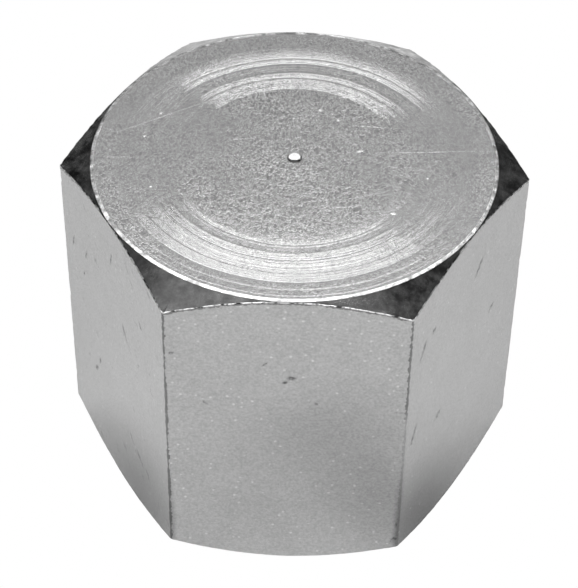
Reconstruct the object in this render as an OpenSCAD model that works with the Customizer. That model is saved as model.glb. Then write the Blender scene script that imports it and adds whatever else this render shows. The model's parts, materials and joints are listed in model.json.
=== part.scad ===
// Hexagonal pipe cap, G 1/2 parallel pipe thread, turned from hexagon bar.
// Origin: centre of the open mouth. +Z runs up the thread axis to the closed end.
// Flats face -Y and +Y, corners point along -X and +X.

/* [Hexagon bar] */
// Width across two opposite flats, the spanner size
across_flats = 27; // [26:0.5:32]
// Height from the mouth face to the closed end face
cap_h = 24.7; // [23.5:0.1:30]

/* [End chamfers] */
// Diameter of the turned circle at the closed end
top_circle_d = 26.8; // [24:0.1:27]
// Slope of the closed end's corner chamfer, degrees from horizontal
top_chamfer_angle = 30.7; // [20:0.1:45]
// Diameter of the turned circle at the mouth
mouth_circle_d = 26.8; // [25:0.1:27]
// Slope of the mouth's corner chamfer, degrees from horizontal
mouth_chamfer_angle = 34; // [20:0.5:45]

/* [Parting pip] */
// Width of the little dome left at the centre of the closed end
pip_d = 1; // [0.6:0.1:1.6]
// How far the dome stands above the closed end face
pip_h = 0.2; // [0.1:0.05:0.25]

/* [Pipe thread] */
// Minor diameter of the female G 1/2 thread, also the bore that is drilled for it
thread_minor_d = 18.631; // [18.631:0.001:19.172]
// Height above the mouth where the full thread ends and the relief begins
thread_end_z = 14.9; // [12:0.1:15.5]
// Diameter of the mouth's countersink, which is a 90 degree cone
countersink_d = 22; // [21.2:0.1:23]
// Diameter of the thread relief groove, just over the thread's major diameter
relief_d = 21.3; // [21:0.1:22]

/* [Seal seat] */
// Depth of the plain recess that centres the washer at the seat
recess_depth = 1.2; // [0.8:0.1:1.8]
// Thickness of the closed end above the seat
end_wall = 5.2; // [5:0.1:6]
// Diameter of the drill point's remains in the middle of the seat
drill_mark_d = 8; // [2:0.5:10]
// Included angle of the drill point
drill_point_angle = 118; // [118:1:140]

/* [Sealing washer] */
// Outer diameter of the flat washer
washer_od = 18.5; // [18.45:0.01:18.6]
// Hole diameter of the flat washer
washer_id = 12; // [10.5:0.1:14]
// Thickness of the flat washer
washer_t = 2; // [1.9:0.1:3]

/* [Hidden] */
$fn = 128;
seat_z = cap_h - end_wall;
recess_z = seat_z - recess_depth;
across_corners = across_flats / cos(30);
bore_r = thread_minor_d / 2;
countersink_r = countersink_d / 2;
drill_mark_depth = drill_mark_d / 2 / tan(drill_point_angle / 2);
// How far each chamfer has run down the bar where it leaves a corner
top_chamfer_h = (across_corners - top_circle_d) / 2 * tan(top_chamfer_angle);
mouth_chamfer_h = (across_corners - mouth_circle_d) / 2 * tan(mouth_chamfer_angle);
// Radius of the sphere whose crown is the parting pip
pip_sphere_r = (pow(pip_d / 2, 2) + pow(pip_h, 2)) / (2 * pip_h);
// Overshoot of a cutter past the face it cuts
cut_past = 1;

// Hexagon bar with two opposite flats facing -Y and +Y
module hexagon_bar() {
    cylinder(h = cap_h, d = across_corners, $fn = 6);
}

// Turned envelope: a cone at each end takes the six corners off
module chamfered_envelope() {
    rotate_extrude()
        polygon([
            [0, 0],
            [mouth_circle_d / 2, 0],
            [across_corners / 2, mouth_chamfer_h],
            [across_corners / 2, cap_h - top_chamfer_h],
            [top_circle_d / 2, cap_h],
            [0, cap_h]
        ]);
}

// Everything that the tools take out from the mouth: countersink, thread's bore,
// relief groove, washer recess and the drill point's remains
module bore_space() {
    rotate_extrude()
        polygon([
            [0, -cut_past],
            [countersink_r + cut_past, -cut_past],
            [bore_r, countersink_r - bore_r],
            [bore_r, thread_end_z],
            [relief_d / 2, thread_end_z],
            [relief_d / 2, recess_z],
            [bore_r, recess_z],
            [bore_r, seat_z],
            [drill_mark_d / 2, seat_z],
            [0, seat_z + drill_mark_depth]
        ]);
}

// Crown of a sphere, left where the parting tool broke through
module parting_pip() {
    translate([0, 0, cap_h + pip_h - pip_sphere_r])
        sphere(r = pip_sphere_r);
}

// The cap: one piece of zinc-plated steel
module cap_body() {
    color("silver")
        difference() {
            union() {
                intersection() {
                    hexagon_bar();
                    chamfered_envelope();
                }
                parting_pip();
            }
            bore_space();
        }
}

// Flat rubber washer, lying against the seat inside the closed end
module sealing_washer() {
    color("dimgray")
        translate([0, 0, seat_z - washer_t])
            difference() {
                cylinder(h = washer_t, d = washer_od);
                translate([0, 0, -cut_past])
                    cylinder(h = washer_t + 2 * cut_past, d = washer_id);
            }
}

cap_body();
sealing_washer();
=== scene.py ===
import json
import math

import bpy
import numpy as np
from mathutils import Matrix, Vector


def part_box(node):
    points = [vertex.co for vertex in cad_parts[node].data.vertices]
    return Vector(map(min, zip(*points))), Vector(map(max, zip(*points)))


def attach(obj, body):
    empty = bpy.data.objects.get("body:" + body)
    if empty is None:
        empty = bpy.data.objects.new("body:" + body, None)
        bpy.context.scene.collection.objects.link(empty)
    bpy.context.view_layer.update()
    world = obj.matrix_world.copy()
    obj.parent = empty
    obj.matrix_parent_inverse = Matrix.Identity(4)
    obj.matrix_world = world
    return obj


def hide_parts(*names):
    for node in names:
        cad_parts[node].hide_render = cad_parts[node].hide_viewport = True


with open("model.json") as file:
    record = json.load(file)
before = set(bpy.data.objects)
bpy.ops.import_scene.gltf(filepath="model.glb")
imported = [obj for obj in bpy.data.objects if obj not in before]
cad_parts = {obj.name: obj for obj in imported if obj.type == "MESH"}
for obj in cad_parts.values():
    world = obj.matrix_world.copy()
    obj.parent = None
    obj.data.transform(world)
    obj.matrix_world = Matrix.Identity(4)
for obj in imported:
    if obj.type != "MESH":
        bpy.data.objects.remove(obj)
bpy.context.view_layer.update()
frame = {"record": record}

# ---------------------------------------------------------------------------
# Sizes. Everything is in metres; MM turns millimetres into them.
# ---------------------------------------------------------------------------
MM = 0.001
mounts = {mount["name"]: mount for mount in frame["record"]["mounts"]}
cap_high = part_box("cap_body")[1]
washer_low, washer_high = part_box("sealing_washer")

BURR = 0.04 * MM                 # most that a burr stands over the face beside it
HALF_FLATS = cap_high.y - BURR
END_Z = mounts["closed_end_face"]["pos_m"][2]
THREAD_R = mounts["pipe_thread"]["dims"]["r_mm"] * MM
THREAD_LENGTH = mounts["pipe_thread"]["dims"]["length_mm"] * MM
THREAD_END = mounts["pipe_thread"]["pos_m"][2] + THREAD_LENGTH / 2
THREAD_START = THREAD_END - THREAD_LENGTH
SEAT_Z = washer_high.z

# Outside of the cap
CORNER_R = 0.2 * MM              # drawn corner of the hexagon bar
RIM_R = 13.4 * MM                # turned circle at the closed end
FOOT_R = 13.4 * MM               # turned circle at the mouth
END_SLOPE = math.radians(30.7)   # chamfer at the closed end, from horizontal
FOOT_SLOPE = math.radians(34)    # chamfer at the mouth, from horizontal
PIP_R = 0.5 * MM                 # parting pip
PIP_H = cap_high.z - END_Z
PIP_SLANT = 0.08                 # slope of its sheared top

# Inside of the cap
COUNTERSINK_R = THREAD_R + THREAD_START
PITCH = 25.4 * MM / 14
THREAD_DEPTH = 1.162 * MM
FLANK = math.radians(27.5)
CREST_R = 0.1373 * PITCH
RELIEF_R = 10.65 * MM
RECESS_Z = SEAT_Z - 1.2 * MM
DRILL_R = 4 * MM
DRILL_HALF_ANGLE = math.radians(59)
WASHER_HOLE_R = 6 * MM

# The turned end face. Scallops of the feed, each band as its start, its end and its depth:
# the first two are shares of the rim's radius, and the depth is a share of SCALLOP_H.
FEED = 0.09 * MM
SCALLOP_H = 0.021 * MM
TORN_EDGE = 0.60
LIP_W = 0.21 * MM                # width of the rolled lip round the rim
LIP_FALL = 0.2                   # its slope at the front, where it is rolled over most
FALLING_OUTWARD = [
    (0.604, 0.620, 1.0), (0.634, 0.639, 0.5), (0.682, 0.722, 0.9), (0.736, 0.809, 1.0),
    (0.820, 0.872, 1.0), (0.916, 0.921, 0.3), (0.962, 0.966, 0.25),
]
FALLING_INWARD = [
    (0.537, 0.577, 0.7), (0.585, 0.615, 1.0), (0.630, 0.667, 0.8), (0.743, 0.772, 0.9),
    (0.787, 0.817, 0.9), (0.824, 0.850, 0.3),
]
# How much of the scallops is left at each angle round the end face, in degrees from the front
FRONT_FAN = [(-180, 0.1), (-59, 0.1), (-56, 1), (41, 1), (45, 0.1), (180, 0.1)]
BACK_FAN = [(-180, 0.72), (-136, 0.72), (-131, 0.1), (118, 0.1), (134, 0.72), (180, 0.72)]

# Marks of handling, in millimetres. On the end face: x, y, lean in degrees, length, width.
END_SCRATCHES = [
    (-9.2, 3.7, 31, 9.2, 0.10), (8.6, 1.0, 4, 9.0, 0.10), (-11.5, -0.4, 3, 2.6, 0.08),
    (-5.0, -8.0, -24, 3.0, 0.07), (3.5, 6.5, 12, 2.5, 0.07), (5.0, 3.4, -3, 3.6, 0.06),
    (-3.5, 1.8, 8, 2.4, 0.06), (10.2, -4.6, 62, 1.8, 0.07),
]
END_SPOTS = [
    (1.6, 5.0, 20, 0.5, 0.3), (2.8, 4.0, -30, 0.4, 0.3), (4.3, 0.9, 15, 0.7, 0.25),
    (6.5, -5.1, -10, 0.45, 0.3), (-9.1, 4.2, 0, 0.3, 0.25), (-9.2, -3.2, 10, 0.3, 0.2),
    (8.7, -1.6, 0, 0.25, 0.2), (-10.0, 1.8, 40, 0.3, 0.2),
]
# On the flats: the flat's number round the bar from the front, along it, up it, lean,
# length, width. One finish holds these and the painted shade patches below: it renders well
# with all 31, and rendered as plain black with 45.
FLAT_NICKS = [
    (0, 0.3, 17.9, 0, 0.75, 0.5), (0, -0.1, 17.5, 35, 0.5, 0.35), (0, -1.4, 19.1, 45, 0.75, 0.2),
    (0, -5.2, 15.4, -50, 0.6, 0.3), (0, -7.3, 19.9, 30, 0.5, 0.35), (0, 1.9, 15.6, -50, 0.45, 0.25),
    (0, 7.5, 2.2, 60, 1.2, 0.45), (0, 7.3, 15.0, 0, 0.8, 0.16), (0, 7.6, 3.7, 85, 0.9, 0.2),
    (5, -3.6, 8.0, 60, 1.2, 0.45), (5, -2.9, 9.3, 70, 1.0, 0.35), (5, -4.7, 16.2, 70, 0.8, 0.25),
    (5, 0.1, 21.5, 75, 1.6, 0.3), (5, -4.1, 18.4, 70, 1.2, 0.3), (5, -6.2, 18.0, 75, 1.4, 0.3),
    (1, 1.2, 20.9, 50, 2.2, 0.5), (1, 3.7, 15.0, 40, 1.0, 0.5), (1, -4.8, 20.0, 30, 0.8, 0.6),
    (1, -6.1, 19.3, 65, 2.2, 0.5), (1, -3.2, 10.6, 30, 1.1, 0.6), (1, -6.6, 11.7, 70, 2.4, 0.45),
    (3, 1.2, 9.0, 30, 0.8, 0.3), (2, 2.2, 12.0, 60, 0.6, 0.25), (4, -2.5, 18.0, -40, 0.6, 0.25),
]
# Painted shade: soft darker patches low on the flats, painted where the flats reflect the floor's shadow.
# Flat, along it, up it, lean, length, width, depth.
FLAT_PAINTED_SHADE = [
    (0, 3.0, 13.0, 20, 15, 12, 0.16), (0, 6.5, 7.0, 0, 12, 14, 0.22),
    (5, 4.0, 1.5, 25, 26, 17, 0.48), (1, -5.0, 1.7, -42, 26, 14, 0.6),
    (3, 2.0, 3.0, 10, 16, 12, 0.2), (2, -4.0, 8.0, 30, 14, 12, 0.15), (4, 5.0, 5.0, -20, 14, 12, 0.2),
]


# ---------------------------------------------------------------------------
# Shapes worked out with numpy
# ---------------------------------------------------------------------------
def waves(at, seed, count, lowest, highest):
    """Smooth noise, periodic over a turn: sines of whole numbers of waves, with random
    phases, added up and divided by the square root of their count."""
    rng = np.random.default_rng(seed)
    total = np.zeros_like(at)
    for number in rng.integers(lowest, highest, count):
        total += np.sin(number * at + rng.uniform(0, 2 * np.pi))
    return total / math.sqrt(count)


def ripple(u, v, seed, count, shortest, longest):
    """Smooth noise over a plane: plane waves in random directions and of random lengths
    between the shortest and the longest, added up and divided by the root of their count."""
    rng = np.random.default_rng(seed)
    total = np.zeros(np.broadcast(u, v).shape)
    for _ in range(count):
        turn, phase = rng.uniform(0, 2 * np.pi, 2)
        length = shortest * (longest / shortest) ** rng.uniform()
        along = u * math.cos(turn) + v * math.sin(turn)
        total += np.sin(2 * np.pi * along / length + phase)
    return total / math.sqrt(count)


def hexagon_radius(off_middle):
    """Distance from the axis to the bar's side, at an angle from the middle of a flat:
    half-width over cosine on the flat, and within the drawn corner the far crossing of
    the ray with the corner's circle."""
    corner_turn = math.pi / 6
    centre = (HALF_FLATS - CORNER_R) / math.cos(corner_turn)
    tangent = math.atan((HALF_FLATS - CORNER_R) * math.tan(corner_turn) / HALF_FLATS)
    off_corner = corner_turn - np.abs(off_middle)
    side = HALF_FLATS / np.cos(off_middle)
    inside = np.maximum(CORNER_R**2 - (centre * np.sin(off_corner)) ** 2, 0)
    arc = centre * np.cos(off_corner) + np.sqrt(inside)
    return np.where(np.abs(off_middle) > tangent, arc, side)


def columns_round_the_bar(over_flat, over_corner):
    """Angles once round the bar, even over each flat and close together over each drawn
    corner. Returns each angle and how far it is from the middle of its flat."""
    edge = math.radians(29.4)
    flat = np.linspace(-edge, edge, over_flat)
    corner = np.linspace(edge, math.radians(60) - edge, over_corner + 2)[1:-1]
    side = np.concatenate([flat, corner])
    normals = np.radians(-90 + 60 * np.arange(6))
    angle = (normals[:, None] + side).ravel()
    off = np.where(side > math.pi / 6, side - math.pi / 3, side)
    return angle, np.tile(off, 6)


def rounded_path(corners, radii, arc_steps, spans):
    """Rows of points along straight lines from corner to corner, where each inner corner
    is rounded by an arc of its radius, or a smaller one where its lines are short. Each
    arc is a weighted quadratic curve, which is an exact circle's arc when the weight is
    the cosine of half the turn. Four guard rows run close to each end of a long line."""
    guards = np.array([0.04, 0.08, 0.13, 0.2]) * MM
    flat_list = np.broadcast_arrays(*[value for corner in corners for value in corner])
    points = np.stack([np.stack(flat_list[::2]), np.stack(flat_list[1::2])], -1)
    steps = np.diff(points, axis=0)
    lengths = np.linalg.norm(steps, axis=-1, keepdims=True)
    ways = steps / lengths
    starts, arcs = [points[0]], []
    ends = []
    for i, (radius, count) in enumerate(zip(radii, arc_steps)):
        here, way_in, way_out = points[i + 1], ways[i], ways[i + 1]
        turn = np.arccos(np.clip((way_in * way_out).sum(-1, keepdims=True), -1, 1))
        cut = radius * np.tan(turn / 2)
        cut = np.minimum(cut, 0.42 * np.minimum(lengths[i], lengths[i + 1]))
        first, last, weight = here - way_in * cut, here + way_out * cut, np.cos(turn / 2)
        ends.append(first)
        starts.append(last)
        t = np.linspace(0, 1, count + 1)[1:-1, None, None]
        over = (1 - t) ** 2 + 2 * t * (1 - t) * weight + t**2
        mid = ((1 - t) ** 2 * first + 2 * t * (1 - t) * weight * here + t**2 * last) / over
        arcs.append(mid)
    ends.append(points[-1])
    rows = []
    for i, count in enumerate(spans):
        length = np.linalg.norm(ends[i] - starts[i], axis=-1, keepdims=True)
        share = np.linspace(0, 1, count + 1)[:, None, None] * np.ones_like(length)
        if count > 6:
            widest = np.array([0.2, 0.4, 0.6, 0.8])[:, None, None] / count
            near = np.minimum(guards[:, None, None] / length, widest)
            share = np.concatenate([share[:1], near, share[1:-1], 1 - near[::-1], share[-1:]])
        rows.append(starts[i] + share * (ends[i] - starts[i]))
        if i < len(arcs):
            rows.append(arcs[i])
    return rows


def closed_surface(name, outer, inner, outer_pole, inner_pole, finishes, materials):
    """A closed skin over two grids of rings: the first pole's fan, the outer grid, a strip
    from its last ring to the inner grid, which has every second column, then the inner grid
    and the last pole's fan. finishes gives the material of each ring's faces."""
    rows_out, cols = outer.shape[:2]
    rows_in, half = inner.shape[:2]
    ring = 1 + np.arange(rows_out * cols).reshape(rows_out, cols)
    deep = 1 + rows_out * cols + np.arange(rows_in * half).reshape(rows_in, half)
    last = 1 + rows_out * cols + rows_in * half
    points = np.concatenate([[outer_pole], outer.reshape(-1, 3), inner.reshape(-1, 3), [inner_pole]])

    def quads(grid):
        right = np.roll(grid, -1, axis=1)
        return np.stack([grid[:-1], grid[1:], right[1:], right[:-1]], -1).reshape(-1, 4)

    even, odd, then = ring[-1, ::2], ring[-1, 1::2], np.roll(ring[-1, ::2], -1)
    below, beside = deep[0], np.roll(deep[0], -1)
    triangles = [
        np.stack([np.zeros(cols, int), ring[0], np.roll(ring[0], -1)], -1),
        np.stack([even, below, odd], -1),
        np.stack([odd, below, beside], -1),
        np.stack([odd, beside, then], -1),
        np.stack([deep[-1], np.full(half, last), np.roll(deep[-1], -1)], -1),
    ]
    out_finish, in_finish = finishes
    tri_finish = [
        np.full(cols, out_finish[0]),
        *[np.full(half, out_finish[-1])] * 3,
        np.full(half, in_finish[-1]),
    ]
    four = np.concatenate([quads(ring), quads(deep)])
    three = np.concatenate(triangles)
    finish = np.concatenate(
        [np.repeat(out_finish[1:], cols), np.repeat(in_finish[1:], half), *tri_finish]
    )
    return skin(name, points, four, three, finish, materials)


def skin(name, points, quads, triangles, finish, materials):
    """A smooth-shaded mesh object at the origin from its points, its four-sided faces, its
    triangles and the material number of each face."""
    mesh = bpy.data.meshes.new(name)
    mesh.vertices.add(len(points))
    mesh.vertices.foreach_set("co", points.astype(np.float32).ravel())
    loops = np.concatenate([quads.ravel(), triangles.ravel()])
    sizes = np.concatenate([np.full(len(quads), 4), np.full(len(triangles), 3)])
    mesh.loops.add(len(loops))
    mesh.loops.foreach_set("vertex_index", loops.astype(np.int32))
    mesh.polygons.add(len(sizes))
    mesh.polygons.foreach_set("loop_start", np.concatenate([[0], np.cumsum(sizes)[:-1]]).astype(np.int32))
    mesh.polygons.foreach_set("loop_total", sizes.astype(np.int32))
    mesh.polygons.foreach_set("material_index", np.asarray(finish, np.int32))
    mesh.polygons.foreach_set("use_smooth", np.ones(len(sizes), bool))
    for material in materials:
        mesh.materials.append(material)
    mesh.update(calc_edges=True)
    mesh.set_sharp_from_angle(angle=math.radians(38))
    piece = bpy.data.objects.new(name, mesh)
    bpy.context.scene.collection.objects.link(piece)
    return piece


def turned(r, z, angle):
    """Points of rings at radius r and height z, swept round the axis to each angle."""
    return np.stack([r * np.cos(angle), r * np.sin(angle), np.broadcast_to(z, r.shape)], -1)


def thread_radius(z, angle):
    """Radius of the female right-hand thread: at each height and angle, how far the point
    is along the pitch from the nearest crest gives the depth, by the crest's arc, then the
    straight flank, and the same again turned over for the root."""
    phase = np.mod(z / PITCH - angle / (2 * np.pi) + 0.5, 1) - 0.5
    along = np.abs(phase) * PITCH
    quarter = PITCH / 4
    from_end = np.where(along < quarter, along, 2 * quarter - along)
    arc_end = CREST_R * math.cos(FLANK)
    arc = CREST_R - np.sqrt(np.maximum(CREST_R**2 - np.minimum(from_end, arc_end) ** 2, 0))
    flank = np.maximum(from_end - arc_end, 0) / math.tan(FLANK)
    rise = arc + flank
    return THREAD_R + np.where(along < quarter, rise, THREAD_DEPTH - rise)


def turning_marks(share):
    """Height of the end face's rings over its plane, by share of the rim's radius: slow
    swells, a shallow groove at each edge of a band, and the step round the torn centre."""
    swell = 0.002 * MM * np.sin(2 * np.pi * share * 3.1)
    grooves = np.zeros_like(share)
    for start, end, depth in FALLING_OUTWARD + FALLING_INWARD:
        for edge in (start, end):
            grooves -= 0.004 * MM * depth * np.exp(-(((share - edge) / 0.006) ** 2))
    step = 0.008 * MM / (1 + np.exp((share - TORN_EDGE) / 0.004))
    return swell + grooves + step - 0.012 * MM


def cap_surface(materials):
    """The whole cap as one closed skin: the pip, the end face, the rounded hexagon with
    its chamfered ends, the mouth, the thread, the relief, the recess, the seat and the
    drill point's cone."""
    angle, off = columns_round_the_bar(50, 10)
    side = hexagon_radius(off)
    rim_z = END_Z - LIP_W * LIP_FALL * (0.6 - 0.4 * np.sin(angle))
    rim, shoulder = (RIM_R, rim_z), (side, rim_z - (side - RIM_R) * math.tan(END_SLOPE))
    knee, foot = (side, (side - FOOT_R) * math.tan(FOOT_SLOPE)), (FOOT_R, 0.0)
    mouth, bevel = (COUNTERSINK_R, 0.0), (COUNTERSINK_R - 0.4 * MM, 0.4 * MM)
    path = rounded_path(
        [(PIP_R, END_Z), (RIM_R - LIP_W, END_Z), rim, shoulder, knee, foot, mouth, bevel],
        radii=[0.3 * MM, 0.14 * MM, 0.12 * MM, 0.12 * MM, 0.14 * MM, 0.1 * MM],
        arc_steps=[3, 6, 6, 4, 5, 4],
        spans=[80, 4, 5, 58, 3, 6, 1],
    )
    names = [
        "end", "turn", "lip", "rim", "chamfer", "shoulder", "flat", "knee", "low_chamfer", "foot",
        "mouth", "edge", "bevel",
    ]
    place = np.concatenate([np.full(len(rows), i) for i, rows in enumerate(path)])
    rows = np.concatenate(path)
    r, z = rows[..., 0], rows[..., 1].copy()
    share = r / RIM_R
    on_end = place <= names.index("lip")
    z[on_end] += turning_marks(share[on_end])

    # the pip: a low button with steep sides, sheared off aslant, so that its top rises
    # towards the back
    dome_share = np.sin(np.linspace(0, math.pi / 2, 10))[1:-1, None]
    dome_r = PIP_R * dome_share * np.ones_like(angle)
    base_z = z[0]
    slant = PIP_SLANT * dome_r * np.sin(angle)
    middle = PIP_H - PIP_SLANT * PIP_R
    dome_z = base_z + (middle + slant) * np.sqrt(1 - dome_share**6)
    r, z = np.concatenate([dome_r, r]), np.concatenate([dome_z, z])
    place = np.concatenate([np.full(len(dome_r), -1), place])
    share = r / RIM_R

    # burrs: a rolled lip along the rim and along each shoulder, and chips down the corners
    rolled = np.clip(0.45 + 0.5 * waves(angle, 11, 40, 60, 175) + 0.45 * waves(angle, 12, 20, 14, 50), 0, 1)
    near_rim = np.exp(-(((r - RIM_R + 0.5 * LIP_W) / (0.45 * LIP_W)) ** 2)) * (z > END_Z - 0.3 * MM)
    z += 0.6 * BURR * (rolled - 0.5) * near_rim
    shoulder_z = rim_z - (side - RIM_R) * math.tan(END_SLOPE)
    knee_z = (side - FOOT_R) * math.tan(FOOT_SLOPE)
    for edge_z, size in ((shoulder_z, 1.0), (knee_z, 0.5)):
        along_edge = np.roll(rolled, 31) * np.exp(-(((z - edge_z) / (0.07 * MM)) ** 2))
        r += BURR * size * along_edge * (r > 0.985 * side)
    off_corner = np.abs(np.abs(off) - math.pi / 6)
    near_corner = np.exp(-((off_corner / math.radians(0.45)) ** 2))
    corner_number = np.round((angle - math.pi / 3) / (math.pi / 3))
    on = np.flatnonzero(place == names.index("flat"))
    chips = ripple(corner_number * 0.7 + 0 * z[on], z[on], 21, 26, 0.5 * MM, 5 * MM)
    r[on] -= 0.03 * MM * near_corner * np.clip(chips - 0.2, 0, 2.5)

    outer = turned(r, z, angle)
    finish_of = {
        "end": "end", "turn": "lip", "lip": "lip", "rim": "lip", "chamfer": "chamfer",
        "shoulder": "burr", "flat": "flat", "knee": "flat", "low_chamfer": "chamfer",
        "foot": "chamfer", "mouth": "bore", "edge": "bore", "bevel": "bore",
    }
    order = list(materials)
    number = np.array([order.index(finish_of[names[p]] if p >= 0 else "pip") for p in place])

    # inside: rings at even heights through the thread, then the relief, recess and seat
    inner_angle = angle[::2]
    thread_z = np.linspace(0.55 * MM, THREAD_END, 100)[:, None] * np.ones_like(inner_angle)
    cone = COUNTERSINK_R - thread_z
    thread_r = np.maximum(thread_radius(thread_z, inner_angle), cone)
    inside = [thread_r, thread_z]
    level = np.ones_like(inner_angle)[None]
    drill_top = SEAT_Z + DRILL_R / math.tan(DRILL_HALF_ANGLE)
    lines = [
        ((RELIEF_R, THREAD_END), (RELIEF_R, RECESS_Z), 6),
        ((RELIEF_R, RECESS_Z), (THREAD_R, RECESS_Z), 3),
        ((THREAD_R, RECESS_Z), (THREAD_R, SEAT_Z), 3),
        ((THREAD_R, SEAT_Z), (DRILL_R, SEAT_Z), 6),
        ((DRILL_R, SEAT_Z), (0.02 * MM, drill_top), 6),
    ]
    for start, end, count in lines:
        t = np.linspace(0, 1, count + 1)[:, None]
        if start[0] == RELIEF_R and end[0] == RELIEF_R:
            keep = t
        else:
            keep = t[1:]
        inside[0] = np.concatenate([inside[0], (start[0] + keep * (end[0] - start[0])) * level])
        inside[1] = np.concatenate([inside[1], (start[1] + keep * (end[1] - start[1])) * level])
    inner = turned(inside[0], inside[1], inner_angle)
    bore_number = np.full(len(inner), order.index("bore"))
    pip_top = (0, 0, END_Z + PIP_H)
    return closed_surface(
        "cap_steel", outer, inner, pip_top, (0, 0, drill_top), (number, bore_number), materials.values()
    )


def washer_surface(material):
    """The washer as a closed ring: its section is a rectangle with rounded corners, a
    hair crowned on its faces, swept round."""
    low, high = washer_low.z, washer_high.z
    outer_r, inner_r = washer_high.x - 0.01 * MM, WASHER_HOLE_R
    mid_r, mid_z = (outer_r + inner_r) / 2, (low + high) / 2
    half_w, half_h = (outer_r - inner_r) / 2, (high - low) / 2
    around = np.linspace(0, 2 * np.pi, 72, endpoint=False)[:, None]
    angle = np.linspace(0, 2 * np.pi, 240, endpoint=False)
    power = 0.16
    c, s = np.cos(around), np.sin(around)
    r = mid_r + half_w * np.sign(c) * np.abs(c) ** power * np.ones_like(angle)
    z = mid_z + (half_h - 0.01 * MM) * np.sign(s) * np.abs(s) ** power * np.ones_like(angle)
    points = turned(r, z, angle)
    grid = np.arange(points.shape[0] * points.shape[1]).reshape(points.shape[:2])
    up, right = np.roll(grid, -1, 0), np.roll(grid, -1, 1)
    both = np.roll(up, -1, 1)
    quads = np.stack([grid, right, both, up], -1).reshape(-1, 4)
    no_triangles = np.zeros((0, 3), int)
    one_finish = np.zeros(len(quads))
    return skin("washer_rubber", points.reshape(-1, 3), quads, no_triangles, one_finish, [material])


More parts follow.
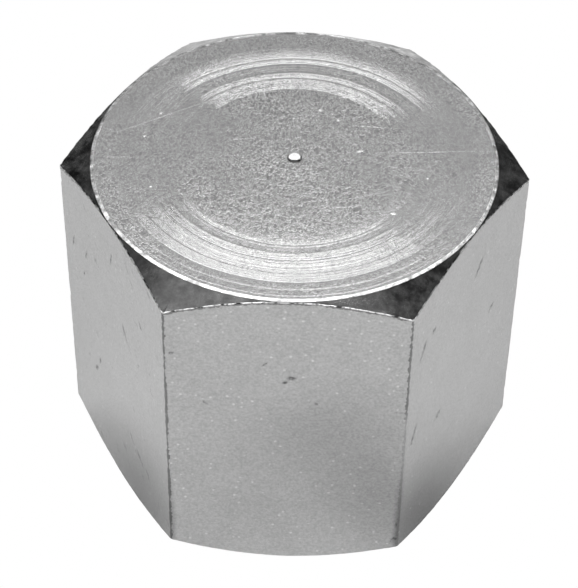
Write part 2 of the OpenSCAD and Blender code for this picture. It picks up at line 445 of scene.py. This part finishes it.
# ---------------------------------------------------------------------------
# Finishes
# ---------------------------------------------------------------------------
class Finish:
    """A material's node tree, with short calls for the nodes that the finishes share."""

    def __init__(self, name, **shader):
        self.material = bpy.data.materials.new(name)
        self.material.use_nodes = True
        self.tree = self.material.node_tree
        self.tree.nodes.clear()
        out = self.tree.nodes.new("ShaderNodeOutputMaterial")
        self.shader = self.node("ShaderNodeBsdfPrincipled", **shader)
        self.tree.links.new(self.shader.outputs[0], out.inputs["Surface"])
        self.place = self.node("ShaderNodeTexCoord").outputs["Object"]

    def node(self, kind, settings=None, **inputs):
        """A node whose inputs are values or links, named, or numbered as in i0."""
        node = self.tree.nodes.new(kind)
        for key, value in (settings or {}).items():
            setattr(node, key, value)
        for key, value in inputs.items():
            socket = node.inputs[int(key[1:])] if key[0] == "i" and key[1:].isdigit() else node.inputs[key]
            if isinstance(value, bpy.types.NodeSocket):
                self.tree.links.new(value, socket)
            else:
                socket.default_value = value
        return node

    def calc(self, operation, a, b=0.0, c=0.0):
        """One step of arithmetic."""
        return self.node("ShaderNodeMath", {"operation": operation}, i0=a, i1=b, i2=c).outputs[0]

    def noise(self, scale, detail=2.0, roughness=0.5, vector=None, flat=None, distortion=0.0):
        """Noise in space, or along one value where flat is given."""
        settings = {"noise_dimensions": "1D" if flat is not None else "3D"}
        node = self.node(
            "ShaderNodeTexNoise", settings,
            Scale=scale, Detail=detail, Roughness=roughness, Distortion=distortion,
        )
        if flat is not None:
            self.tree.links.new(flat, node.inputs["W"])
        else:
            self.tree.links.new(vector or self.place, node.inputs["Vector"])
        return node.outputs["Fac"]

    def range(self, value, low, high, to_low, to_high):
        """Maps low to to_low and high to to_high, straight between and level beyond."""
        node = self.node("ShaderNodeMapRange", i0=value, i1=low, i2=high, i3=to_low, i4=to_high)
        return node.outputs[0]

    def ramp(self, value, stops):
        """A grey that runs straight from stop to stop, each a place and a level."""
        node = self.node("ShaderNodeValToRGB", i0=value)
        elements = node.color_ramp.elements
        elements.remove(elements[1])
        elements[0].position = stops[0][0]
        elements[0].color = (stops[0][1],) * 3 + (1,)
        for place, level in stops[1:]:
            elements.new(place).color = (level,) * 3 + (1,)
        return node.outputs[0]

    def scallops(self, share, bands, outward):
        """Height of the feed's scallops: along the radius, one flank of each is long and
        curved like a parabola and the other is a seventh as long; the bands set its depth."""
        stops = [(0.0, 0.0)]
        for start, end, depth in bands:
            stops += [(start - 0.003, 0.0), (start, depth), (end, depth), (end + 0.003, 0.0)]
        part = self.calc("FRACT", self.calc("MULTIPLY", share, RIM_R / FEED))
        along = self.calc("SUBTRACT", 1.0, part) if outward else part
        back = self.calc("DIVIDE", self.calc("SUBTRACT", 1.0, along), 0.125)
        rise = self.calc("MINIMUM", self.calc("DIVIDE", along, 0.875), back)
        return self.calc("MULTIPLY", self.ramp(share, stops), self.calc("MULTIPLY", rise, rise))

    def fan(self, shares):
        """How much of a cut is left, by the angle round the axis from the front: all of it
        in a wide fan, and little beyond, where the face was rubbed smooth. The ends of the
        fan are ragged."""
        split = self.node("ShaderNodeSeparateXYZ", Vector=self.place)
        turn = self.calc("ARCTAN2", split.outputs[0], self.calc("MULTIPLY", split.outputs[1], -1.0))
        ragged = self.range(self.noise(1300, 3, 0.7), 0.3, 0.7, 0.496, 0.504)
        part = self.calc("ADD", self.calc("DIVIDE", turn, 2 * math.pi), ragged)
        return self.ramp(part, [(0.5 + degrees / 360, left) for degrees, left in shares])

    def on_end(self, x, y, lean, length, width):
        """Distance from a mark's middle on the end face, as a share of its half length and
        half width."""
        return self.mark((x * MM, y * MM, END_Z), (0, 0, math.radians(lean)), (length, width, 1))

    def on_flat(self, number, along, up, lean, length, width):
        """The same for a mark on a flat; the flats are numbered round from the front."""
        azimuth = math.radians(60 * number - 90)
        normal = Vector((math.cos(azimuth), math.sin(azimuth), 0))
        beside = Vector((-normal.y, normal.x, 0))
        place = normal * HALF_FLATS + beside * along * MM + Vector((0, 0, up * MM))
        return self.mark(place, (math.radians(lean), 0, azimuth), (1, length, width))

    def mark(self, place, turn, size):
        """Distance from a place in an ellipsoid's own measure: one is its surface."""
        half = [0.5 * side * MM for side in size]
        local = self.node(
            "ShaderNodeMapping", {"vector_type": "TEXTURE"},
            Vector=self.place, Location=place, Rotation=turn, Scale=half,
        )
        length = self.node("ShaderNodeVectorMath", {"operation": "LENGTH"}, i0=local.outputs[0])
        return length.outputs["Value"]

    def marks(self, distances):
        """One where a mark is, fading to nothing at its outline."""
        nearest = distances[0]
        for distance in distances[1:]:
            nearest = self.calc("MINIMUM", nearest, distance)
        return self.range(nearest, 0.4, 1.0, 1.0, 0.0)

    def pricks(self, scale, size, share):
        """Scattered points: one near the middle of some of a cell pattern's cells."""
        cells = self.node("ShaderNodeTexVoronoi", Vector=self.place, Scale=scale)
        chosen = self.calc("GREATER_THAN", cells.outputs["Color"], 1 - share)
        point = self.range(cells.outputs["Distance"], size * 0.5, size, 1.0, 0.0)
        return self.calc("MULTIPLY", chosen, point)

    def oblique(self, lean, stretch):
        """Scores: the peaks of a noise drawn out along a line that leans from upright."""
        leaning = self.node("ShaderNodeMapping", Vector=self.place, Rotation=(lean, lean, 0))
        drawn = self.node("ShaderNodeMapping", Vector=leaning.outputs[0], Scale=(1, 1, stretch))
        return self.range(self.noise(1500, 4, 0.7, vector=drawn.outputs[0]), 0.63, 0.69, 0.0, 1.0)

    def round_the_bar(self):
        """The angle round the axis, and the angle from the nearest drawn corner."""
        split = self.node("ShaderNodeSeparateXYZ", Vector=self.place)
        turn = self.calc("ARCTAN2", split.outputs[1], split.outputs[0])
        return turn, self.calc("PINGPONG", turn, math.pi / 6)

    def worn_corner(self):
        """One along the middle of each drawn corner, ragged and broken by noise: the whole
        way up at every second corner, and mostly in the upper half at the others."""
        height = self.node("ShaderNodeSeparateXYZ", Vector=self.place).outputs[2]
        turn, off = self.round_the_bar()
        ragged = self.noise(2200, 4, 0.8)
        wide = self.range(ragged, 0.40, 0.62, math.radians(0.06), math.radians(0.55))
        third = self.calc("PINGPONG", self.calc("ADD", turn, math.pi), math.pi / 3)
        whole = self.calc("GREATER_THAN", third, math.pi / 6)
        kept = self.calc("MAXIMUM", whole, self.range(height, 14 * MM, 15.2 * MM, 0.3, 0.95))
        return self.calc("MULTIPLY", self.calc("MULTIPLY", kept, 0.85), self.calc("LESS_THAN", off, wide))

    def under_the_shoulder(self):
        """One along a thin ragged line just under the end chamfer's edge, whose height falls
        from the rim's at the chamfer's slope."""
        height = self.node("ShaderNodeSeparateXYZ", Vector=self.place).outputs[2]
        fall = self.calc("MULTIPLY", self.calc("SUBTRACT", self.radius(), RIM_R), math.tan(END_SLOPE))
        below = self.calc("SUBTRACT", self.calc("SUBTRACT", END_Z - LIP_W * LIP_FALL, fall), height)
        wide = self.range(self.noise(1700, 4, 0.75), 0.40, 0.66, 0.07 * MM, 0.26 * MM)
        return self.calc("MULTIPLY", self.calc("LESS_THAN", below, wide), 0.7)

    def painted_shade(self):
        """Painted shade in soft patches, where the flats reflect the floor's shadow: each is a
        wide ellipse low on a flat, darkest in its middle."""
        tone = 1.0
        for patch in FLAT_PAINTED_SHADE:
            near = self.range(self.on_flat(*patch[:-1]), 0.0, 1.0, 1.0, 0.0)
            rise = self.calc("SUBTRACT", 3.0, self.calc("MULTIPLY", near, 2.0))
            soft = self.calc("MULTIPLY", self.calc("MULTIPLY", near, near), rise)
            left = self.calc("SUBTRACT", 1.0, self.calc("MULTIPLY", soft, patch[-1]))
            tone = self.calc("MULTIPLY", tone, left)
        return tone

    def grey(self, value):
        """A colour of three equal parts."""
        node = self.node("ShaderNodeCombineColor", i0=value, i1=value, i2=value)
        return node.outputs[0]

    def bump(self, height, distance, strength=1.0, normal=None):
        """A surface direction tilted by a height, over another one where it is given."""
        node = self.node("ShaderNodeBump", Strength=strength, Distance=distance, Height=height)
        if normal is not None:
            self.tree.links.new(normal, node.inputs["Normal"])
        return node.outputs[0]

    def wire(self, **sockets):
        """Links outputs to the shader's inputs."""
        for name, value in sockets.items():
            self.tree.links.new(value, self.shader.inputs[name.replace("_", " ")])

    def radius(self):
        """Distance from the thread's axis."""
        split = self.node("ShaderNodeSeparateXYZ", Vector=self.place)
        x2 = self.calc("MULTIPLY", split.outputs[0], split.outputs[0])
        y2 = self.calc("MULTIPLY", split.outputs[1], split.outputs[1])
        return self.calc("SQRT", self.calc("ADD", x2, y2))


ZINC = 0.6


def steel(name, roughness, tone=ZINC):
    """A metal finish of one grey, for the details to be wired into."""
    finish = Finish(name, Metallic=1.0, Roughness=roughness)
    finish.shader.inputs["Base Color"].default_value = (tone, tone, tone, 1)
    return finish


def end_face_finish():
    """Turned steel: scallops that follow the radius in bands, under an even torn grain that
    is deepest in the middle, with light scratches and a few bright spots."""
    finish = steel("turned_zinc", 0.22)
    wander = finish.range(finish.noise(260, 2, 0.5), 0.3, 0.7, -0.0025, 0.0025)
    share = finish.calc("ADD", finish.calc("DIVIDE", finish.radius(), RIM_R), wander)
    outward = finish.scallops(share, FALLING_OUTWARD, outward=True)
    inward = finish.scallops(share, FALLING_INWARD, outward=False)
    streak = finish.range(finish.noise(500, 3, 0.75, flat=share), 0.3, 0.7, 0.5, 1.2)
    front = finish.calc("MULTIPLY", outward, finish.fan(FRONT_FAN))
    back = finish.calc("MULTIPLY", inward, finish.fan(BACK_FAN))
    cut = finish.calc("MULTIPLY", finish.calc("ADD", front, back), streak)
    feed = finish.bump(cut, SCALLOP_H)
    fine = finish.bump(finish.noise(9000, 2, 0.6, flat=finish.radius()), 0.002 * MM, normal=feed)

    drawn = finish.node("ShaderNodeMapping", Vector=finish.place, Scale=(1, 0.72, 1)).outputs[0]
    crack = finish.noise(3900, 2, 0.6, vector=drawn, distortion=0.8)
    worm = finish.calc("ABSOLUTE", finish.calc("SUBTRACT", crack, 0.5))
    crumb = finish.noise(7400, 2, 0.6, vector=drawn)
    torn = finish.calc("ADD", finish.range(worm, 0.0, 0.10, 0.45, 0.0), crumb)
    deep = finish.ramp(share, [(0, 1.0), (0.52, 1.0), (0.62, 0.6), (0.87, 0.5), (0.90, 0.75), (1, 0.75)])
    uneven = finish.range(finish.noise(150, 2, 0.5), 0.35, 0.65, 0.5, 1.2)
    strength = finish.calc("MULTIPLY", deep, uneven)
    torn_part = finish.calc("MULTIPLY", finish.calc("SUBTRACT", torn, 0.68), strength)
    grained = finish.bump(torn_part, 0.007 * MM, normal=fine)

    scratch = finish.marks([finish.on_end(*mark) for mark in END_SCRATCHES])
    spot = finish.marks([finish.on_end(*mark) for mark in END_SPOTS])
    broken = finish.range(finish.noise(2600, 2, 0.6), 0.42, 0.6, 0.07, 0.19)
    lit_scratch = finish.calc("MULTIPLY", scratch, broken)
    light = finish.calc("ADD", lit_scratch, finish.calc("MULTIPLY", spot, 0.35))
    patch = finish.range(finish.noise(700, 3, 0.6), 0.3, 0.7, 0.96 * ZINC, 1.04 * ZINC)
    tone = finish.calc("ADD", patch, finish.calc("MULTIPLY", torn_part, 0.6))
    raised = finish.calc("ADD", finish.calc("MULTIPLY", scratch, 0.4), spot)
    scored = finish.bump(raised, 0.006 * MM, normal=grained)
    finish.wire(Base_Color=finish.grey(finish.calc("ADD", tone, light)), Normal=scored)
    return finish.material


def flat_finish():
    """Drawn steel under bright zinc: a fine satin with pinpricks, nicks, and worn corners, and patches of
    painted shade low on the flats.
    """
    finish = steel("drawn_zinc", 0.26)
    grain = finish.noise(6500, 3, 0.6)
    cloud = finish.noise(420, 4, 0.6)
    satin = finish.range(grain, 0.3, 0.7, 0.84 * ZINC, 1.15 * ZINC)
    tone = finish.calc("ADD", satin, finish.range(cloud, 0.3, 0.7, -0.02, 0.02))
    prick = finish.pricks(1500, 0.18, 0.36)
    across = finish.node("ShaderNodeSeparateXYZ", Vector=finish.place).outputs[0]
    rubbed = finish.range(across, -9 * MM, -6.5 * MM, 0.8, 0.12)
    dash = finish.oblique(0.5, 0.3)
    fade = finish.range(finish.noise(300, 2, 0.6), 0.4, 0.6, 0.2, 1.0)
    score = finish.calc("MULTIPLY", finish.calc("MULTIPLY", dash, rubbed), fade)
    nick = finish.marks([finish.on_flat(*mark) for mark in FLAT_NICKS])
    ragged = finish.range(finish.noise(3800, 3, 0.7), 0.42, 0.6, 0.25, 1.0)
    worn = finish.calc("MAXIMUM", finish.worn_corner(), finish.under_the_shoulder())
    marked = finish.calc("MAXIMUM", finish.calc("MULTIPLY", nick, ragged), score)
    dark = finish.calc("MAXIMUM", marked, worn)
    # painted shade: the patches darken the flats' colour where they reflect the floor's shadow
    tone_with_painted_shade = finish.calc("MULTIPLY", tone, finish.painted_shade())
    lit = finish.calc("ADD", tone_with_painted_shade, finish.calc("MULTIPLY", prick, 0.22))
    shade = finish.calc("MULTIPLY", lit, finish.range(dark, 0.0, 1.0, 1.0, 0.3))
    dent = finish.calc("MAXIMUM", dark, finish.calc("MULTIPLY", prick, 0.4))
    relief = finish.calc("SUBTRACT", finish.calc("MULTIPLY", grain, 0.25), dent)
    finish.wire(Base_Color=finish.grey(shade), Normal=finish.bump(relief, 0.02 * MM))
    return finish.material


def chamfer_finish():
    """Chamfers cut by the tool: smooth, with shallow mottling that is darkest at the left,
    and a lighter rubbed place just right of the front's middle."""
    finish = steel("cut_zinc", 0.2)
    mottle = finish.bump(finish.noise(700, 3, 0.6), 0.02 * MM)
    grain = finish.bump(finish.noise(4500, 2, 0.5), 0.006 * MM, normal=mottle)
    across = finish.node("ShaderNodeSeparateXYZ", Vector=finish.place).outputs[0]
    left = finish.range(across, -14 * MM, -10 * MM, 1.0, 0.3)
    right = finish.range(across, 3 * MM, 6 * MM, 0.0, 0.75)
    most = finish.calc("MAXIMUM", left, right)
    blotch = finish.calc("MULTIPLY", finish.range(finish.noise(850, 4, 0.7), 0.38, 0.64, -0.45, 0.5), most)
    off_middle = finish.calc("ABSOLUTE", finish.calc("SUBTRACT", across, 2.5 * MM))
    rubbed = finish.range(off_middle, 1.5 * MM, 4 * MM, 0.4, 0.0)
    tone = finish.calc("ADD", finish.calc("ADD", blotch, rubbed), 0.95 * ZINC)
    finish.wire(Base_Color=finish.grey(tone), Normal=grain)
    return finish.material


def burr_finish():
    """Edges where the cutter left a broken burr: bright beads with dark gaps, and bare
    metal at the tip of each corner."""
    finish = steel("broken_burr", 0.35)
    beads = finish.range(finish.noise(1900, 3, 0.65), 0.42, 0.56, 0.03, 0.8)
    tip = finish.range(finish.round_the_bar()[1], math.radians(0.8), math.radians(1.6), 0.95, 0.0)
    tone = finish.calc("MAXIMUM", beads, tip)
    finish.wire(Base_Color=finish.grey(tone), Normal=finish.bump(finish.noise(3400, 2, 0.6), 0.04 * MM))
    return finish.material


def lip_finish():
    """The rolled rim: bare bright metal, torn a little."""
    finish = steel("rolled_lip", 0.3)
    tone = finish.range(finish.noise(1300, 3, 0.7), 0.38, 0.6, 0.35, 0.95)
    finish.wire(Base_Color=finish.grey(tone), Normal=finish.bump(finish.noise(2200, 3, 0.6), 0.05 * MM))
    return finish.material


def pip_finish():
    """The sheared pip: clean bright metal, with painted shade darkening its front side, where its near wall
    falls into shadow.
    """
    finish = steel("sheared_pip", 0.35, 0.95)
    y = finish.node("ShaderNodeSeparateXYZ", Vector=finish.place).outputs[1]
    uneven = finish.range(finish.noise(2500, 3, 0.6), 0.3, 0.7, -0.12 * MM, 0.12 * MM)
    ragged = finish.calc("ADD", y, uneven)
    # painted shade: the front of the pip is darkened to stand in for the shadow on its near wall
    tone = finish.range(ragged, -0.34 * MM, -0.2 * MM, 0.06, 0.95)
    finish.wire(Base_Color=finish.grey(tone), Normal=finish.bump(finish.noise(3000, 2, 0.6), 0.01 * MM))
    return finish.material


def bore_finish():
    """The plated bore, thread and mouth face: satin, with a fine grain."""
    finish = steel("bored_zinc", 0.3)
    grain = finish.noise(5000, 2, 0.5)
    finish.wire(Normal=finish.bump(grain, 0.006 * MM))
    return finish.material


def rubber_finish():
    """Matt black rubber, a little cloudy."""
    finish = Finish("moulded_rubber", Roughness=0.65)
    finish.shader.inputs["Base Color"].default_value = (0.03, 0.03, 0.032, 1)
    grain = finish.noise(6000, 3, 0.6)
    tone = finish.range(finish.noise(900, 3, 0.6), 0.3, 0.7, 0.024, 0.04)
    finish.wire(Base_Color=finish.grey(tone), Normal=finish.bump(grain, 0.006 * MM))
    return finish.material


finishes = {
    "end": end_face_finish(),
    "lip": lip_finish(),
    "burr": burr_finish(),
    "pip": pip_finish(),
    "chamfer": chamfer_finish(),
    "flat": flat_finish(),
    "bore": bore_finish(),
}
cap = cap_surface(finishes)
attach(cap, "cap")
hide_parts("cap_body")
washer = washer_surface(rubber_finish())
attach(washer, "washer")
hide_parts("sealing_washer")


# ---------------------------------------------------------------------------
# Studio
# ---------------------------------------------------------------------------
CAMERA_DISTANCE = 151.48 * MM    # from the middle of the cap


def area_light(name, centre, size, power, aim=(0, 0, 0.012)):
    """A soft panel that faces the middle of the cap and that the camera doesn't see."""
    light = bpy.data.lights.new(name, "AREA")
    light.shape = "RECTANGLE"
    light.size, light.size_y = size
    light.energy = power
    lamp = bpy.data.objects.new(name, light)
    lamp.location = centre
    lamp.rotation_mode = "QUATERNION"
    lamp.rotation_quaternion = (Vector(centre) - Vector(aim)).to_track_quat("Z", "Y")
    lamp.visible_camera = False
    bpy.context.scene.collection.objects.link(lamp)
    return lamp


def floor(radius, gap):
    """A pale matt disc that lights the object from below. It thins out to nothing before its
    edge, so that no horizon shows in the steel, and the camera sees through it to the bright
    room. The gap in its middle lets light up into the bore, and the cap stands over it."""
    finish = Finish("studio_floor")
    matt = finish.node("ShaderNodeBsdfDiffuse", Color=(0.8, 0.8, 0.8, 1))
    clear = finish.node("ShaderNodeBsdfTransparent")
    seen = finish.node("ShaderNodeLightPath").outputs["Is Camera Ray"]
    thin = finish.range(finish.radius(), radius / 2, radius, 0.0, 1.0)
    open_part = finish.calc("MAXIMUM", seen, thin)
    top = finish.node("ShaderNodeMixShader", i0=open_part, i1=matt.outputs[0], i2=clear.outputs[0])
    out = next(node for node in finish.tree.nodes if node.type == "OUTPUT_MATERIAL")
    finish.tree.links.new(top.outputs[0], out.inputs["Surface"])
    finish.tree.nodes.remove(finish.shader)
    count = 96
    angle = np.linspace(0, 2 * np.pi, count, endpoint=False)
    inner = turned(np.full(count, gap), 0.0, angle)
    outer = turned(np.full(count, radius), 0.0, angle)
    near = np.arange(count)
    far = near + count
    around = np.stack([near, far, np.roll(far, -1), np.roll(near, -1)], -1)
    points = np.concatenate([inner, outer])
    disc = skin("floor", points, around, np.zeros((0, 3), int), np.zeros(count), [finish.material])


def surroundings(dim, wall, seen):
    """A room with pale lower walls in front, at the sides and straight behind, and a pale
    floor far below; it is dim higher up and behind to the left and right, so that chamfers
    show dark. The camera sees plain white where it looks past the object."""
    world = bpy.data.worlds.new("room")
    bpy.context.scene.world = world
    world.use_nodes = True
    tree = world.node_tree
    tree.nodes.clear()

    def add(kind, settings=None, *values):
        node = tree.nodes.new(kind)
        for key, value in (settings or {}).items():
            setattr(node, key, value)
        for socket, value in zip(node.inputs, values):
            if isinstance(value, bpy.types.NodeSocket):
                tree.links.new(value, socket)
            else:
                socket.default_value = value
        return node

    def between(value, low, high):
        return add("ShaderNodeMapRange", None, value, low, high, 0.0, 1.0).outputs[0]

    def together(operation, a, b):
        return add("ShaderNodeMath", {"operation": operation}, a, b).outputs[0]

    way = add("ShaderNodeSeparateXYZ", None, add("ShaderNodeTexCoord").outputs["Generated"])
    x, y, z = way.outputs
    front = between(y, 0.35, -0.1)
    behind = together("MULTIPLY", between(together("ABSOLUTE", x, 0), 0.42, 0.25), between(y, 0.3, 0.6))
    low = between(z, 0.7, 0.45)
    pale = together("MULTIPLY", together("MAXIMUM", front, behind), low)
    level = together("MULTIPLY", together("MAXIMUM", pale, between(z, 0.0, -0.1)), wall)
    room = add("ShaderNodeBackground", None, (1, 1, 1, 1), together("ADD", level, dim))
    white = add("ShaderNodeBackground", None, (1, 1, 1, 1), seen)
    camera_ray = add("ShaderNodeLightPath").outputs["Is Camera Ray"]
    blend = add("ShaderNodeMixShader", None, camera_ray, room.outputs[0], white.outputs[0])
    add("ShaderNodeOutputWorld", None, blend.outputs[0])


def camera(distance, elevation, azimuth, roll, lens, aim_right, aim_up):
    """Looks at the middle of the cap from the front and above, rolled a little."""
    a, e = math.radians(azimuth), math.radians(elevation)
    back = Vector((math.sin(a) * math.cos(e), -math.cos(a) * math.cos(e), math.sin(e)))
    right = Vector((math.cos(a), math.sin(a), 0))
    up = back.cross(right)
    centre = Vector((0, 0, END_Z / 2))
    place = centre + back * distance
    aim = centre - right * aim_right - up * aim_up
    look = (place - aim).normalized()
    across = up.cross(look).normalized()
    turn = Matrix((across, look.cross(across), look)).transposed()
    turn = turn @ Matrix.Rotation(math.radians(roll), 3, "Z")
    data = bpy.data.cameras.new("camera")
    data.lens = lens
    data.clip_start, data.clip_end = 0.01, 10
    shot = bpy.data.objects.new("camera", data)
    shot.matrix_world = Matrix.Translation(place) @ turn.to_4x4()
    bpy.context.scene.collection.objects.link(shot)
    bpy.context.scene.camera = shot


floor(radius=0.6, gap=0.98 * FOOT_R)
surroundings(dim=0.05, wall=0.3, seen=1.0)
area_light("overhead", (-0.04, 0.205, 0.455), (0.37, 0.19), 0.74)
area_light("back", (0, 0.43, 0.43), (0.56, 0.28), 0.15)
area_light("front", (0, -0.35, 0.465), (0.9, 0.22), 2.7)
area_light("left", (-0.15, -0.10, 0.47), (0.36, 0.30), 0.06)
area_light("under", (0, 0, -0.3), (0.3, 0.3), 0.4)
camera(
    CAMERA_DISTANCE, elevation=44.433, azimuth=1.0008, roll=1.079, lens=133.27,
    aim_right=0.0014 * CAMERA_DISTANCE, aim_up=0.0008 * CAMERA_DISTANCE,
)
bpy.context.scene.view_settings.view_transform = "Standard"
